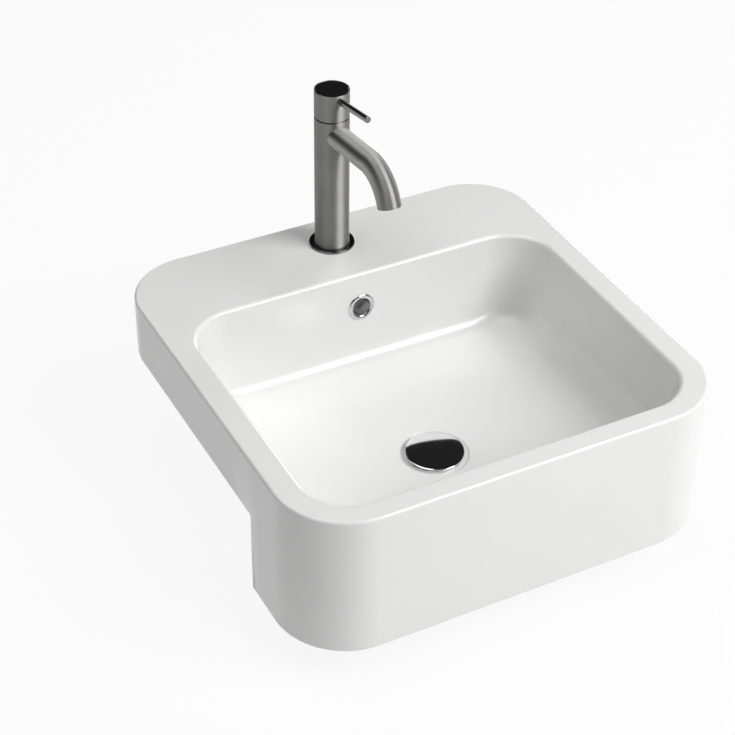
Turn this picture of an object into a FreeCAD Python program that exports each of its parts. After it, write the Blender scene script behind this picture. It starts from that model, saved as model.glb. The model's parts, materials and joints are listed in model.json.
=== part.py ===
import FreeCAD, Part
import math
import os

# A semi-recessed washbasin with its single-lever tap and its push-to-open waste.
# X runs across the basin, +Y towards the wall and +Z up. The origin is on the counter's top, under
# the middle of the basin's rear wall. Sizes are in millimetres and angles in degrees.

# ---------------------------------------------------------------- the ceramic casting
WIDTH = 500.0                  # over the outer faces
DEPTH = 500.0                  # from the apron's face to the rear face
HEIGHT = 175.0                 # from the rim's top to the apron's foot
RISE = 72.0                    # from the counter's top to the rim's top
PROJECTION = 135.0             # apron in front of the counter's edge
OUTER_WALL = 12.0              # outer wall, whose foot also rests on the counter
LEDGE_SLAB = 14.0              # thickness of the rim and of the tap ledge
FRONT_CORNER = 80.0            # outer corners, in plan
BACK_CORNER = 75.0
OUTER_EDGE = 3.5               # rounding of the rim's outer edge
INNER_EDGE = 2.2               # bevel of the rim's inner edge
FOOT_EDGE = 1.8                # bevel of the apron's foot

SIDE_RIM = 30.6                # flat rim beside the bowl
FRONT_RIM = 26.6               # flat rim in front of the bowl
TAP_LEDGE = 122.3              # flat ledge behind the bowl
BOWL_CORNER = 54.0             # corners of the bowl's mouth, in plan
BOWL_WALL = 11.0
BOWL_DRAFT = 4.0               # how far the bowl's walls lean
BOWL_DEPTH = 113.0             # from the rim's top to the floor's edge
SIDE_SWEEP = 40.0              # rounding from wall to floor, at the sides, back and front
BACK_SWEEP = 15.0
FRONT_SWEEP = 30.0
FLOOR_CUT = 20.0               # corners cut off the floor's falling part

OUTLET_FROM_FRONT = 196.0      # the waste's axis behind the apron's face
OUTLET_DROP = 129.0            # from the rim's top to the lip of that ring
SEAT_DEPTH = 2.4               # from that lip to the waste's seat
SEAT_ROOM = 4.5                # round the waste's flange, in its seat
DISH_SLOPE = 2.5               # from the seat out to the lip of the ring
OUTLET_ROOM = 2.05             # round the waste's tail, in the casting
BOSS_RADIUS = 36.0
BOSS_DEPTH = 36.6              # from the waste's seat to the foot of the outlet boss

OVERFLOW_DROP = 44.0           # from the rim's top to the overflow's axis
OVERFLOW_HOLE = 12.0
WAY_HALF_WIDTH = 16.0          # the hidden way from the overflow to the outlet
WAY_GAP = 9.0                  # its clear depth behind the bowl
WAY_FALL = 12.0                # its clear height under the outlet ring's floor
WAY_WALL = 6.0

TAP_FROM_BACK = 50.0           # the tap's axis in front of the rear face
TAP_HOLE = 17.5

# ---------------------------------------------------------------- the tap
TAP_HEIGHT = 201.0             # from the rim's top to the handle's top
SPLIT_HEIGHT = 168.0           # from the rim's top to the top of the fixed body
BODY_RADIUS = 20.0
BODY_WALL = 3.0
FLANGE_RADIUS = 26.5
FLANGE_THICKNESS = 2.6
SHANK_ROOM = 1.0               # round the shank, in the tap hole
SHANK_DEPTH = 10.0             # how far the shank reaches into the ceramic
INLET_THREAD = 4.46            # core radius of the M10 x 1 hose threads
INLET_DEPTH = 14.0
INLET_X = 5.6
INLET_Y = -3.0
STUD_RADIUS = 3.95
STUD_INSET = 6.0               # from the shank's side to the stud's axis
STUD_DEPTH = 15.5              # how far it is screwed into the shank
STUD_LENGTH = 58.0
WATERWAY = 1.9                 # radius of the ways from the hoses to the cartridge

SPOUT_RADIUS = 13.25
SPOUT_WALL = 1.75
SPOUT_HEIGHT = 147.0           # where its axis crosses the body's axis, over the rim's top
SPOUT_SLOPE = 6.3              # upwards, before the bend
SPOUT_RUN = 89.5               # from the body's axis to the bend
SPOUT_BEND = 46.6
SPOUT_TURN = 76.7              # through which the bend turns down
AERATOR_DEPTH = 7.0
AERATOR_RIM = 2.3

PIVOT_DROP = 16.0              # the lever's pivot under the top of the fixed body
LIFT = 14.0                    # the lever's travel from closed to open
HANDLE_GAP = 1.2               # between body and handle, at the front
RELIEF_SLOPE = 10.0            # the handle's foot slopes up towards the rear
RELIEF_START = -4.0            # from this far behind the axis
CAP_WALL = 2.5
CAP_HEAD = 17.0                # solid head, over the hollow skirt
DISC_WALL = 1.15               # rim round the top disc
DISC_THICKNESS = 1.6
PIN_RADIUS = 3.75
PIN_REACH = 67.0               # from the handle's side to the pin's end
PIN_SLOPE = 9.5
PIN_DROP = 5.8                 # under the handle's top, where the pin leaves the side
PIN_SOCKET = 12.0

CARTRIDGE_RADIUS = 12.5
CARTRIDGE_BORE = 10.05
CARTRIDGE_LENGTH = 34.0        # from its foot to its top
BALL_DROP = 12.0               # the lever's ball under its pivot
BALL_RADIUS = 2.5
FIXED_DISC = 4.0
STEM_X = 4.0                   # half the stem's section
STEM_Y = 3.5
AXLE_RADIUS = 1.5

# ---------------------------------------------------------------- the waste
WASTE_FLANGE = 32.0
WASTE_FLANGE_THICKNESS = 3.4
TAIL_RADIUS = 20.95            # G 1 1/4 thread, over its crests
TAIL_BORE = 17.5
TAIL_LENGTH = 90.0             # from the flange's top to the tail's end
TAIL_GROOVE = 2.0              # height of the groove between the nut's thread and the trap's
TAIL_GROOVE_DROP = 0.5         # from the nut's foot to that groove
BACKNUT_HEIGHT = 10.0
BACKNUT_FLATS = 56.0
LOWER_SEAL = 4.0
PLUG_OVERHANG = 1.3            # of the cap over the flange, all round
PLUG_CROWN = 5.3               # from the flange's top to the crown of the cap
PLUG_EDGE = 3.0                # height of the cap's straight side
PLUG_TRAVEL = 9.0
PLUNGER_RADIUS = 4.0
CLICK_RADIUS = 7.0

# ---------------------------------------------------------------- fits
RUNNING = 0.05                 # between a shaft and its bore
EASY = 0.3                     # between moving neighbours that don't bear on each other
SNUG = 0.1                     # between fixed neighbours

# ---------------------------------------------------------------- worked out from these
REAR = OUTER_WALL / 2
FRONT = REAR - DEPTH
RIM = RISE
FOOT = RISE - HEIGHT
COUNTER_EDGE = FRONT + PROJECTION
LEAN = math.tan(math.radians(BOWL_DRAFT))
BOWL_HALF = WIDTH / 2 - SIDE_RIM
BOWL_FRONT = FRONT + FRONT_RIM
BOWL_BACK = REAR - TAP_LEDGE
OUTLET_Y = FRONT + OUTLET_FROM_FRONT
SEAT = RIM - OUTLET_DROP - SEAT_DEPTH
BOSS_FOOT = SEAT - BOSS_DEPTH
TAP_Y = REAR - TAP_FROM_BACK
BODY_FOOT = RIM + FLANGE_THICKNESS
BODY_TOP = RIM + SPLIT_HEIGHT
HANDLE_TOP = RIM + TAP_HEIGHT
HANDLE_FOOT = BODY_TOP + HANDLE_GAP
PIVOT = BODY_TOP - PIVOT_DROP
SPOUT_BORE = SPOUT_RADIUS - SPOUT_WALL
SHANK_RADIUS = TAP_HOLE - SHANK_ROOM
STUD_Y = SHANK_RADIUS - STUD_INSET
BODY_BORE = BODY_RADIUS - BODY_WALL
GUIDE_RADIUS = CARTRIDGE_BORE - RUNNING
SEAT_RADIUS = WASTE_FLANGE + SEAT_ROOM
OUTLET_DISH = SEAT_RADIUS + DISH_SLOPE
OUTLET_HOLE = TAIL_RADIUS + OUTLET_ROOM
PLUG_RADIUS = WASTE_FLANGE + PLUG_OVERHANG
CARTRIDGE_TOP = BODY_TOP - 3.0
CARTRIDGE_FOOT = CARTRIDGE_TOP - CARTRIDGE_LENGTH
FLANGE_TOP = SEAT + WASTE_FLANGE_THICKNESS

FAR = 1000.0                   # longer than any piece, for cutting tools

Vector = FreeCAD.Vector
UP = Vector(0, 0, 1)


# ---------------------------------------------------------------- shapes
def rod(radius, low, high, x=0.0, y=0.0):
    return Part.makeCylinder(radius, high - low, Vector(x, y, low))


def ring(outer, inner, low, high, x=0.0, y=0.0):
    return rod(outer, low, high, x, y).cut(rod(inner, low - 1, high + 1, x, y))


def block(x, y, z):
    """A box from its spans along the three axes."""
    return Part.makeBox(x[1] - x[0], y[1] - y[0], z[1] - z[0], Vector(x[0], y[0], z[0]))


def turned(profile, x=0.0, y=0.0):
    """A turned piece from its half section, as (radius, height) points."""
    points = [Vector(radius, 0, height) for radius, height in profile]
    section = Part.Face(Part.makePolygon(points + points[:1]))
    return section.revolve(Vector(), UP, 360).translated(Vector(x, y, 0))


def hexagon(flats, low, high, x=0.0, y=0.0):
    corner = flats / 2 / math.cos(math.radians(30))
    points = [
        Vector(x + corner * math.cos(math.radians(a)), y + corner * math.sin(math.radians(a)), low)
        for a in range(0, 361, 60)
    ]
    return Part.Face(Part.makePolygon(points)).extrude(Vector(0, 0, high - low))


def aimed(shape, place, direction):
    """A piece built at the origin along +Z, turned to a direction and put in its place."""
    return shape.transformed(FreeCAD.Placement(place, FreeCAD.Rotation(UP, direction)).toMatrix())


def rounded_outline(half, front, back, front_radius, back_radius, height):
    """A rounded rectangle: four sides and four corner arcs, starting on the +X side."""
    corners = [
        (half - back_radius, back - back_radius, back_radius, 0),
        (-half + back_radius, back - back_radius, back_radius, 90),
        (-half + front_radius, front + front_radius, front_radius, 180),
        (half - front_radius, front + front_radius, front_radius, 270),
    ]
    arcs = []
    for x, y, radius, start in corners:
        turns = [math.radians(start + a) for a in (0, 45, 90)]
        arcs.append([Vector(x + radius * math.cos(t), y + radius * math.sin(t), height) for t in turns])
    edges = []
    for number, arc in enumerate(arcs):
        edges.append(Part.LineSegment(arcs[number - 1][2], arc[0]).toShape())
        edges.append(Part.Arc(*arc).toShape())
    return Part.Wire(edges)


def level_edges(shape, height):
    """The shape's edges that lie in one level plane."""
    return [
        edge for edge in shape.Edges
        if abs(edge.BoundBox.ZMin - height) < 1e-4 and abs(edge.BoundBox.ZMax - height) < 1e-4
    ]


def corners(half, front, back, height):
    return [Vector(x, y, height) for x, y in ((half, front), (half, back), (-half, back), (-half, front))]


def flat_faced(top, foot):
    """A solid between two level outlines with as many corners and with sides that are parallel."""
    faces = [Part.Face(Part.makePolygon(ends + ends[:1])) for ends in (top, foot)]
    for number in range(len(top)):
        after = (number + 1) % len(top)
        wall = [top[number], top[after], foot[after], foot[number], top[number]]
        faces.append(Part.Face(Part.makePolygon(wall)))
    solid = Part.Solid(Part.Shell(faces))
    solid.fix(1e-6, 1e-6, 1e-6)
    return solid


# ---------------------------------------------------------------- the casting
def casting_block(inset, low, high):
    outline = rounded_outline(
        WIDTH / 2 - inset, FRONT + inset, REAR - inset, FRONT_CORNER - inset, BACK_CORNER - inset, low
    )
    return Part.Face(outline).extrude(Vector(0, 0, high - low))


def leaning_box(grown):
    """The bowl's sharp form, or with its wall's thickness added, that of its outside."""
    drop = BOWL_DEPTH + grown
    half, front, back = BOWL_HALF + grown, BOWL_FRONT - grown, BOWL_BACK + grown
    inset = LEAN * drop
    top = corners(half, front, back, RIM)
    return flat_faced(top, corners(half - inset, front + inset, back - inset, RIM - drop))


def bowl_hollow():
    """The bowl's inside, with a different sweep from each wall to the floor."""
    document = FreeCAD.newDocument("bowl")
    sharp = document.addObject("Part::Feature", "sharp")
    sharp.Shape = leaning_box(0.0)
    rounded = document.addObject("Part::Fillet", "rounded")
    rounded.Base = sharp
    radii = []
    for number, edge in enumerate(sharp.Shape.Edges, 1):
        centre = edge.BoundBox.Center
        if level_edges(edge, RIM):
            continue
        if not level_edges(edge, RIM - BOWL_DEPTH):
            radius = BOWL_CORNER
        elif abs(centre.x) > BOWL_HALF / 2:
            radius = SIDE_SWEEP
        else:
            radius = BACK_SWEEP if centre.y > OUTLET_Y else FRONT_SWEEP
        radii.append((number, radius, radius))
    rounded.Edges = radii
    document.recompute()
    return rounded.Shape.fuse(floor_fall(0.0)).removeSplitter()


def bowl_outside():
    """The bowl as seen from below: rounded upright edges, bevelled below."""
    foot = RIM - BOWL_DEPTH - BOWL_WALL
    outside = leaning_box(BOWL_WALL)
    upright = [edge for edge in outside.Edges if not (level_edges(edge, RIM) or level_edges(edge, foot))]
    outside = outside.makeFillet(BOWL_CORNER + BOWL_WALL, upright)
    outside = outside.makeChamfer(BACK_SWEEP, level_edges(outside, foot))
    return outside.fuse(floor_fall(BOWL_WALL)).removeSplitter()


def octagon(half, front, back, cut, height):
    """A rectangle with its corners cut off at 45 degrees."""
    points = []
    for x, y in ((half, front), (half, back), (-half, back), (-half, front)):
        inward = Vector(-math.copysign(cut, x), 0, 0), Vector(0, cut if y == front else -cut, 0)
        ends = [Vector(x, y, height) + step for step in inward]
        points += ends if (x > 0) == (y == front) else ends[::-1]
    return Part.makePolygon(points + points[:1])


def floor_fall(grown):
    """The floor's fall in eight flat panels, from inside the sweeps to the outlet's ring."""
    inset = LEAN * BOWL_DEPTH
    edge = octagon(
        BOWL_HALF - inset - SIDE_SWEEP, BOWL_FRONT + inset + FRONT_SWEEP, BOWL_BACK - inset - BACK_SWEEP,
        FLOOR_CUT, RIM - BOWL_DEPTH - grown
    ).OrderedVertexes
    lip = octagon(
        OUTLET_DISH, OUTLET_Y - OUTLET_DISH, OUTLET_Y + OUTLET_DISH, OUTLET_DISH * (2 - math.sqrt(2)),
        RIM - OUTLET_DROP - grown
    ).OrderedVertexes
    return flat_faced([v.Point for v in edge], [v.Point for v in lip])


def basin_body():
    outer = casting_block(0.0, FOOT, RIM)
    outer = outer.makeFillet(OUTER_EDGE, level_edges(outer, RIM))
    outer = outer.makeChamfer(FOOT_EDGE, level_edges(outer, FOOT))
    hollow = casting_block(OUTER_WALL, FOOT - 1, RIM - LEDGE_SLAB)
    counter = block((-FAR, FAR), (COUNTER_EDGE, FAR), (FOOT - 1, 0))
    shell = outer.cut([hollow, counter])

    bowl, bowl_skin = bowl_hollow(), bowl_outside()
    way_foot = RIM - OUTLET_DROP - BOWL_WALL - WAY_FALL
    way_head = RIM - OVERFLOW_DROP + OVERFLOW_HOLE + WAY_WALL
    way_back = BOWL_BACK + BOWL_WALL + WAY_GAP
    casing_half = WAY_HALF_WIDTH + WAY_WALL
    casing = block(
        (-casing_half, casing_half), (OUTLET_Y, way_back + WAY_WALL),
        (way_foot - WAY_WALL, way_head + WAY_WALL)
    )
    way = block((-WAY_HALF_WIDTH, WAY_HALF_WIDTH), (OUTLET_Y, way_back), (way_foot, way_head))
    way = way.cut(bowl_skin)
    boss = rod(BOSS_RADIUS, BOSS_FOOT, SEAT - WAY_WALL / 2, 0, OUTLET_Y)

    dish = Part.makeCone(SEAT_RADIUS, OUTLET_DISH, SEAT_DEPTH, Vector(0, OUTLET_Y, SEAT))
    outlet = rod(OUTLET_HOLE, BOSS_FOOT - 1, SEAT + 1, 0, OUTLET_Y)
    tap_hole = rod(TAP_HOLE, RIM - LEDGE_SLAB - 1, RIM + 1, 0, TAP_Y)
    overflow = aimed(rod(OVERFLOW_HOLE, -BOWL_WALL - WAY_GAP / 2, 1), *overflow_place())

    casting = shell.fuse([bowl_skin, casing, boss]).removeSplitter()
    casting = casting.cut([way, bowl, dish, outlet, tap_hole, overflow])
    mouth = [
        edge for edge in level_edges(casting, RIM)
        if abs(edge.BoundBox.Center.x) <= BOWL_HALF and edge.BoundBox.YMax <= BOWL_BACK + 1e-3
        and edge.BoundBox.YMin >= BOWL_FRONT - 1e-3
    ]
    return casting.makeChamfer(INNER_EDGE, mouth)


def overflow_place():
    """The overflow's centre on the bowl's leaning back wall, and the way out of the wall."""
    lean = math.radians(BOWL_DRAFT)
    place = Vector(0, BOWL_BACK - LEAN * OVERFLOW_DROP, RIM - OVERFLOW_DROP)
    return place, Vector(0, -math.cos(lean), math.sin(lean))


def overflow_ring():
    sleeve_out, sleeve_in, flange = OVERFLOW_HOLE - 0.2, OVERFLOW_HOLE - 1.2, 16.5
    profile = [
        (sleeve_in, -13.0), (sleeve_out, -13.0), (sleeve_out, 0.0), (flange, 0.0), (14.2, 2.1),
        (sleeve_in, 0.6),
    ]
    return aimed(turned(profile), *overflow_place())


# ---------------------------------------------------------------- the tap's fixed parts
def base_flange():
    low, high, bevel = RIM, BODY_FOOT, 0.7
    inner = SHANK_RADIUS + 0.6
    profile = [
        (inner, low), (FLANGE_RADIUS, low), (FLANGE_RADIUS, high - bevel),
        (FLANGE_RADIUS - bevel, high), (inner, high),
    ]
    return turned(profile, 0, TAP_Y)


def inlets():
    return [(side * INLET_X, TAP_Y + INLET_Y) for side in (-1, 1)]


def tap_core():
    """The brass core that the fixing draws down: the shank below, the cartridge's seat on top."""
    low = RIM - SHANK_DEPTH
    core = rod(SHANK_RADIUS, low, BODY_FOOT, 0, TAP_Y)
    core = core.fuse(rod(BODY_BORE - SNUG, BODY_FOOT, CARTRIDGE_FOOT, 0, TAP_Y)).removeSplitter()
    holes = [rod(STUD_RADIUS + RUNNING, low - 1, low + STUD_DEPTH + SNUG, 0, TAP_Y + STUD_Y)]
    for x, y in inlets():
        holes.append(rod(INLET_THREAD, low - 1, low + INLET_DEPTH, x, y))
        holes.append(rod(WATERWAY, low, CARTRIDGE_FOOT + 1, x, y))
    return core.cut(holes)


def spout_point(turn):
    """A point on the bend's centre line after turning down so far, and the way the line runs there."""
    rise = math.radians(SPOUT_SLOPE)
    along, down = Vector(0, -math.cos(rise), math.sin(rise)), Vector(0, -math.sin(rise), -math.cos(rise))
    start = Vector(0, TAP_Y, RIM + SPOUT_HEIGHT) + along * SPOUT_RUN
    angle = math.radians(turn)
    place = start + down * SPOUT_BEND * (1 - math.cos(angle)) + along * SPOUT_BEND * math.sin(angle)
    return place, along * math.cos(angle) + down * math.sin(angle)


def spout_rod(radius):
    """The spout's centre line with a thickness: a rising straight, then a bend that turns down."""
    place, along = spout_point(0)
    straight = Part.makeCylinder(radius, SPOUT_RUN, place - along * SPOUT_RUN, along)
    section = Part.Face(Part.Wire(Part.makeCircle(radius, place, along)))
    centre = place + along.cross(Vector(1, 0, 0)) * -SPOUT_BEND
    return straight.fuse(section.revolve(centre, Vector(1, 0, 0), SPOUT_TURN))


def spout_tube():
    """The spout, a bent tube whose foot meets the body's bore, with a wider seat in its end."""
    bore = rod(BODY_BORE, RIM, BODY_TOP, 0, TAP_Y)
    seat = aimed(rod(SPOUT_BORE, -AERATOR_DEPTH, 1), *spout_point(SPOUT_TURN))
    return spout_rod(SPOUT_RADIUS).cut([spout_rod(SPOUT_BORE), bore, seat])


def aerator_ring():
    outer = SPOUT_BORE - SNUG
    notches = block((-outer, outer), (-1.2, 1.2), (-2.0, 0))
    body = ring(outer, outer - AERATOR_RIM, -AERATOR_DEPTH, -0.8).cut(notches)
    return aimed(body, *spout_point(SPOUT_TURN))


def aerator_core():
    """The insert that the water leaves through, by six radial slots."""
    radius = SPOUT_BORE - AERATOR_RIM - 2 * SNUG
    core = rod(radius, -AERATOR_DEPTH, -2.2)
    for number in range(6):
        slot = block((2.2, radius - 1.2), (-0.9, 0.9), (-FAR, FAR))
        core = core.cut(slot.rotate(Vector(), UP, 60 * number))
    return aimed(core, *spout_point(SPOUT_TURN))


def tap_body():
    edge = 0.5
    profile = [
        (BODY_BORE, BODY_FOOT), (BODY_RADIUS, BODY_FOOT), (BODY_RADIUS, BODY_TOP - edge),
        (BODY_RADIUS - edge, BODY_TOP), (BODY_BORE, BODY_TOP),
    ]
    return turned(profile, 0, TAP_Y).cut(spout_rod(SPOUT_RADIUS + RUNNING))


def fixed_disc():
    """The ceramic disc that the moving disc slides on, with a slot over each waterway."""
    disc = rod(CARTRIDGE_BORE - SNUG, CARTRIDGE_FOOT, CARTRIDGE_FOOT + FIXED_DISC, 0, TAP_Y)
    for x, y in inlets():
        slot = block((x - 1.5, x + 1.5), (y - 1.5, y + 3.0), (CARTRIDGE_FOOT - 1, CARTRIDGE_FOOT + 5))
        disc = disc.cut(slot)
    return disc


def cartridge_housing():
    """The barrel that holds the discs, open on both sides below for the mixed water."""
    low, flange_low, lip_low = CARTRIDGE_FOOT, CARTRIDGE_TOP - 3.0, CARTRIDGE_TOP - 2.0
    flange, lip = BODY_BORE - SNUG, CARTRIDGE_BORE - 0.85
    profile = [
        (CARTRIDGE_BORE, low), (CARTRIDGE_RADIUS, low), (CARTRIDGE_RADIUS, flange_low),
        (flange, flange_low), (flange, CARTRIDGE_TOP), (lip, CARTRIDGE_TOP), (lip, lip_low),
        (CARTRIDGE_BORE, lip_low),
    ]
    windows = block((-FAR, FAR), (TAP_Y - 3, TAP_Y + 3), (low + FIXED_DISC, low + FIXED_DISC + 3.5))
    return turned(profile, 0, TAP_Y).cut(windows)


def cartridge_nut():
    low, high, outer, inner = CARTRIDGE_TOP, BODY_TOP - 0.4, BODY_BORE - SNUG, CARTRIDGE_BORE + 0.95
    key_slot = block((-outer, outer), (TAP_Y - 2, TAP_Y + 2), (high - 1.4, high + 1))
    return ring(outer, inner, low, high, 0, TAP_Y).cut(key_slot)


# ---------------------------------------------------------------- the tap's fixing under the ledge
LEDGE_UNDERSIDE = RIM - LEDGE_SLAB
CLAMP_RUBBER = 4.0
CLAMP_PLATE = 3.0
CLAMP_RADIUS = 28.0
CLAMP_SLOT = 12.0
CLAMP_SLOT_Y = STUD_Y - 18.5


def clamp(low, high):
    """A horseshoe, open to the front, with a hole for the stud."""
    plate = rod(CLAMP_RADIUS, low, high, 0, TAP_Y)
    slot = rod(CLAMP_SLOT, low - 1, high + 1, 0, TAP_Y + CLAMP_SLOT_Y)
    depth = TAP_Y - CLAMP_RADIUS - 1, TAP_Y + CLAMP_SLOT_Y
    mouth = block((-CLAMP_SLOT, CLAMP_SLOT), depth, (low - 1, high + 1))
    return plate.cut([slot, mouth, rod(STUD_RADIUS + 0.3, low - 1, high + 1, 0, TAP_Y + STUD_Y)])


def clamp_rubber():
    return clamp(LEDGE_UNDERSIDE - CLAMP_RUBBER, LEDGE_UNDERSIDE)


def clamp_plate():
    top = LEDGE_UNDERSIDE - CLAMP_RUBBER
    return clamp(top - CLAMP_PLATE, top)


def fixing_nut():
    top = LEDGE_UNDERSIDE - CLAMP_RUBBER - CLAMP_PLATE
    nut = hexagon(13.0, top - 8.0, top, 0, TAP_Y + STUD_Y)
    return nut.cut(rod(STUD_RADIUS + RUNNING, top - 9, top + 1, 0, TAP_Y + STUD_Y))


def fixing_stud():
    top = RIM - SHANK_DEPTH + STUD_DEPTH
    low, axis_y = top - STUD_LENGTH, TAP_Y + STUD_Y
    slot = block((-FAR, FAR), (axis_y - 0.5, axis_y + 0.5), (low - 1, low + 1.5))
    return rod(STUD_RADIUS, low, top, 0, axis_y).cut(slot)


# ---------------------------------------------------------------- the tap's moving parts
SLOT_HALF = STEM_X + EASY
CARRIER_FLAT = 6.0
CARRIER_RADIUS = 6.8
CARRIER_TOP = PIVOT - BALL_DROP + 2.0
GUIDE_FOOT = CARRIER_TOP + 1.0


def lever_guide():
    """Turns with the handle: it carries the lever's axle and steers the moving disc."""
    low, high = GUIDE_FOOT, CARTRIDGE_TOP - 2.0 - EASY
    guide = rod(GUIDE_RADIUS, low, high, 0, TAP_Y)
    tongue_low = CARRIER_TOP - 5.0
    for side in (-1, 1):
        near, far = sorted((side * (CARRIER_FLAT + SNUG), side * GUIDE_RADIUS))
        tongue = block((near, far), (TAP_Y - 3.5, TAP_Y + 3.5), (tongue_low, low))
        guide = guide.fuse(tongue.common(rod(GUIDE_RADIUS, tongue_low, low, 0, TAP_Y)))
    slot = block((-SLOT_HALF, SLOT_HALF), (TAP_Y - 8.4, TAP_Y + 8.4), (low - 1, high + 1))
    axle = Part.makeCylinder(AXLE_RADIUS + 0.01, 2 * FAR, Vector(-FAR, TAP_Y, PIVOT), Vector(1, 0, 0))
    return guide.removeSplitter().cut([slot, axle])


def lever_axle():
    half = GUIDE_RADIUS - 0.8
    return Part.makeCylinder(AXLE_RADIUS, 2 * half, Vector(-half, TAP_Y, PIVOT), Vector(1, 0, 0))


def moving_disc():
    low = CARTRIDGE_FOOT + FIXED_DISC + RUNNING
    disc = rod(CARRIER_RADIUS, low, CARRIER_TOP, 0, TAP_Y)
    flats = block((-CARRIER_FLAT, CARRIER_FLAT), (TAP_Y - FAR, TAP_Y + FAR), (low, CARRIER_TOP))
    pocket_floor = PIVOT - BALL_DROP - BALL_RADIUS - EASY
    return disc.common(flats).cut(rod(BALL_RADIUS + 0.15, pocket_floor, CARRIER_TOP + 1, 0, TAP_Y))


def lever_stem():
    """A flat bar through the pivot, with a round-nosed finger below that pushes the moving disc."""
    foot, top = PIVOT - 6.0, HANDLE_TOP - 8.0
    bar = block((-STEM_X, STEM_X), (TAP_Y - STEM_Y, TAP_Y + STEM_Y), (foot, top))
    ball = PIVOT - BALL_DROP
    finger = turned([
        (0, ball - BALL_RADIUS), (1.6, ball - BALL_RADIUS), (BALL_RADIUS, ball), (1.6, ball + 1.8),
        (1.6, foot + 1), (0, foot + 1),
    ], 0, TAP_Y)
    axle = Part.makeCylinder(AXLE_RADIUS + RUNNING, 2 * FAR, Vector(-FAR, TAP_Y, PIVOT), Vector(1, 0, 0))
    thread = rod(SCREW_RADIUS + RUNNING, SCREW_FOOT - SNUG, top + 1, 0, TAP_Y)
    return bar.fuse(finger).removeSplitter().cut([axle, thread])


DISC_FLOOR = HANDLE_TOP - DISC_THICKNESS
HEAD_FOOT = HANDLE_TOP - CAP_HEAD
SCREW_RADIUS = 2.45
SCREW_HEAD = 4.4
SCREW_HEAD_HEIGHT = 3.2
SCREW_FOOT = HANDLE_TOP - 20.0


def pin_place():
    """Where the lever pin's axis leaves the handle's side, and its direction."""
    slope = math.radians(PIN_SLOPE)
    place = Vector(0, TAP_Y - BODY_RADIUS, HANDLE_TOP - PIN_DROP)
    return place, Vector(0, -math.cos(slope), math.sin(slope))


def handle_cap():
    edge = 0.4
    profile = [
        (0, HEAD_FOOT), (BODY_RADIUS - CAP_WALL, HEAD_FOOT), (BODY_RADIUS - CAP_WALL, HANDLE_FOOT),
        (BODY_RADIUS, HANDLE_FOOT), (BODY_RADIUS, HANDLE_TOP - edge), (BODY_RADIUS - edge, HANDLE_TOP),
        (0, HANDLE_TOP),
    ]
    cap = turned(profile, 0, TAP_Y)
    start = TAP_Y + RELIEF_START
    rise = math.tan(math.radians(RELIEF_SLOPE)) * (BODY_RADIUS + 2 - RELIEF_START)
    relief = Part.Face(Part.makePolygon([
        Vector(-FAR, start, HANDLE_FOOT), Vector(-FAR, TAP_Y + BODY_RADIUS + 2, HANDLE_FOOT),
        Vector(-FAR, TAP_Y + BODY_RADIUS + 2, HANDLE_FOOT + rise), Vector(-FAR, start, HANDLE_FOOT),
    ])).extrude(Vector(2 * FAR, 0, 0))
    socket_x, socket_y = STEM_X + RUNNING, STEM_Y + RUNNING
    socket = block(
        (-socket_x, socket_x), (TAP_Y - socket_y, TAP_Y + socket_y), (HEAD_FOOT - 1, HANDLE_TOP - 8.0 + SNUG)
    )
    screw_seat = DISC_FLOOR - SCREW_HEAD_HEIGHT - SNUG
    place, direction = pin_place()
    return cap.cut([
        relief,
        socket,
        rod(BODY_RADIUS - DISC_WALL, DISC_FLOOR, HANDLE_TOP + 1, 0, TAP_Y),
        rod(SCREW_HEAD + SNUG, screw_seat, HANDLE_TOP, 0, TAP_Y),
        rod(SCREW_RADIUS + SNUG, HEAD_FOOT, HANDLE_TOP, 0, TAP_Y),
        Part.makeCylinder(PIN_RADIUS + RUNNING, PIN_SOCKET + 6, place - direction * PIN_SOCKET, direction),
    ])


def handle_screw():
    seat = DISC_FLOOR - SCREW_HEAD_HEIGHT - SNUG
    head = rod(SCREW_HEAD, seat, seat + SCREW_HEAD_HEIGHT, 0, TAP_Y)
    shaft = rod(SCREW_RADIUS, SCREW_FOOT, seat, 0, TAP_Y)
    key = hexagon(4.0, seat + 0.8, seat + SCREW_HEAD_HEIGHT + 1, 0, TAP_Y)
    return head.fuse(shaft).removeSplitter().cut(key)


def handle_top_disc():
    bevel, radius = 0.25, BODY_RADIUS - DISC_WALL - SNUG
    top = HANDLE_TOP - RUNNING
    profile = [(0, DISC_FLOOR), (radius, DISC_FLOOR), (radius, top - bevel), (radius - bevel, top), (0, top)]
    return turned(profile, 0, TAP_Y)


def lever_pin():
    place, direction = pin_place()
    tip = 0.7
    profile = [
        (0, -PIN_SOCKET + SNUG), (PIN_RADIUS, -PIN_SOCKET + SNUG), (PIN_RADIUS, PIN_REACH - tip),
        (PIN_RADIUS - tip, PIN_REACH), (0, PIN_REACH),
    ]
    return aimed(turned(profile), place, direction)


# ---------------------------------------------------------------- the waste
HUB_TOP = FLANGE_TOP - 17.0
HUB_HEIGHT = 6.0


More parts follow.
